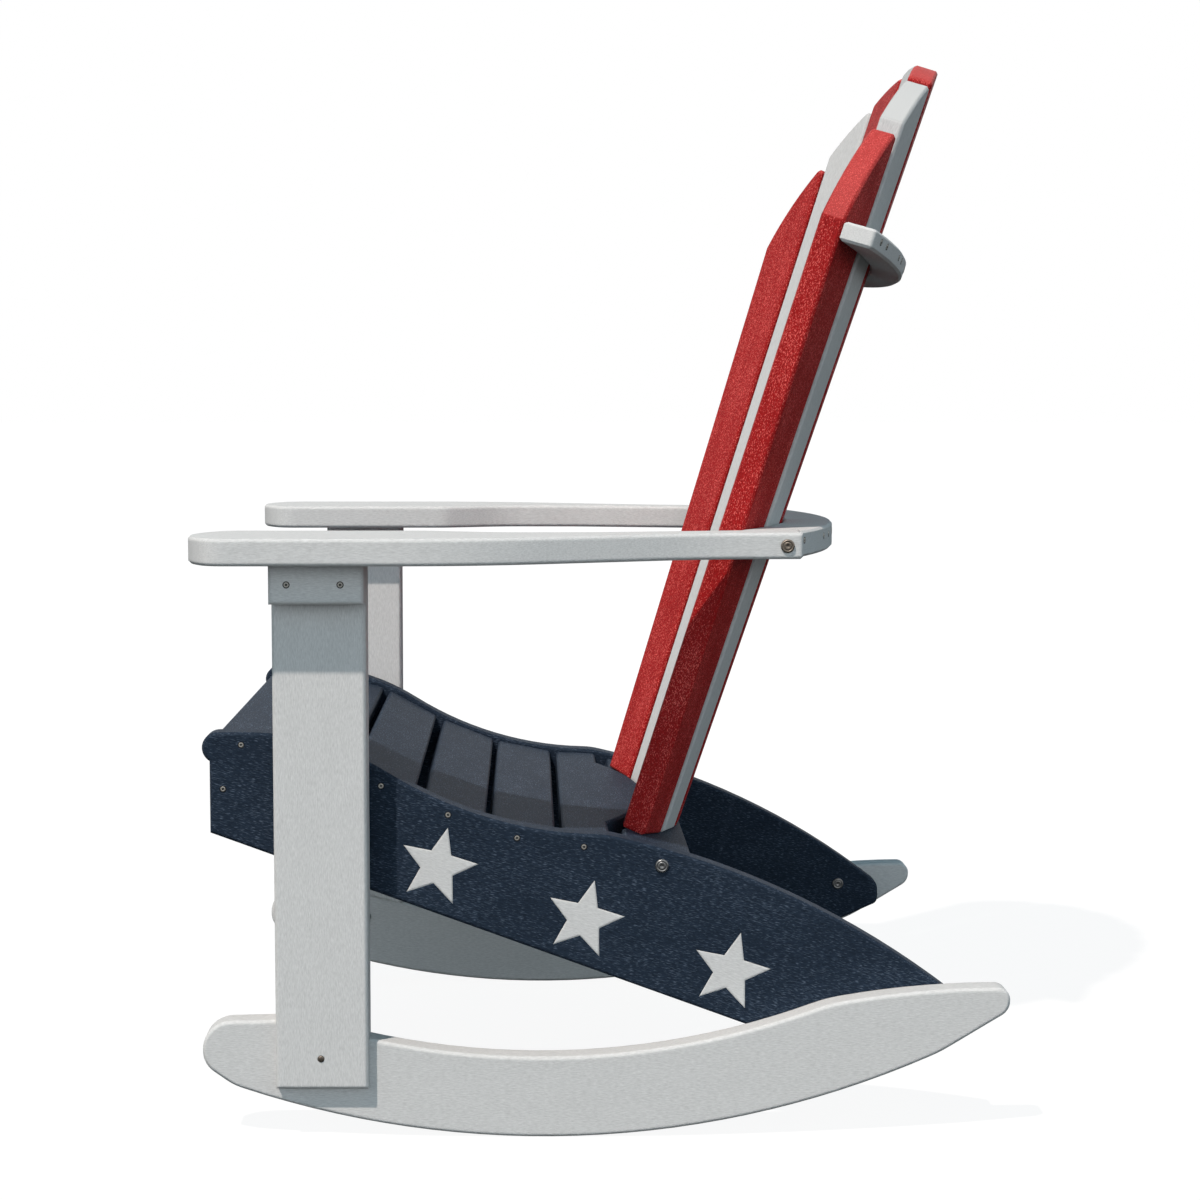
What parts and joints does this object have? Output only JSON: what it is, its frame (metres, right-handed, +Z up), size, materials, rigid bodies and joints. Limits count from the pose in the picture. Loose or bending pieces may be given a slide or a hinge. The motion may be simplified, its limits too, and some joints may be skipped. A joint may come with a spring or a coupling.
{
  "type": "rocking adirondack chair",
  "caption": "Rocking armchair of flat boards with a fanned, arched slat back, dipped slat seat, wide curved arms and curved rockers",
  "frame": {"origin": "on the floor under the middle of the chair, at the bottom centre of its bounding box", "axes": "+Z up; the sitter faces -Y; +X to the sitter's left; length along Y, width along X"},
  "size_m": [0.738, 0.7862, 1.0636],
  "materials": {
    "navy_board": "solid recycled-plastic board, fine lengthwise grain, satin",
    "white_board": "solid recycled-plastic board, satin",
    "red_board": "solid recycled-plastic board, faint mottle, satin",
    "steel": "stainless steel"
  },
  "bodies": {
    "root": {"arm_back_brace": "white_board", "arm_bolts": "steel", "arm_bracket_left": "white_board", "arm_bracket_right": "white_board", "arm_left": "white_board", "arm_right": "white_board", "back_slat_1": "red_board", "back_slat_2": "white_board", "back_slat_3": "red_board", "back_slat_4": "white_board", "back_slat_5": "red_board", "back_slat_6": "white_board", "back_slat_7": "red_board", "brace_bolts": "steel", "front_apron": "navy_board", "front_leg_left": "white_board", "front_leg_right": "white_board", "leg_bolts": "steel", "lower_back_brace": "navy_board", "rocker_bolts": "steel", "rocker_left": "white_board", "rocker_right": "white_board", "seat_side_left": "navy_board", "seat_side_right": "navy_board", "seat_slat_1": "navy_board", "seat_slat_2": "navy_board", "seat_slat_3": "navy_board", "seat_slat_4": "navy_board", "seat_slat_5": "navy_board", "seat_slat_6": "navy_board", "star_inlays_left": "white_board", "star_inlays_right": "white_board", "upper_back_brace": "white_board"}
  },
  "joints": []
}
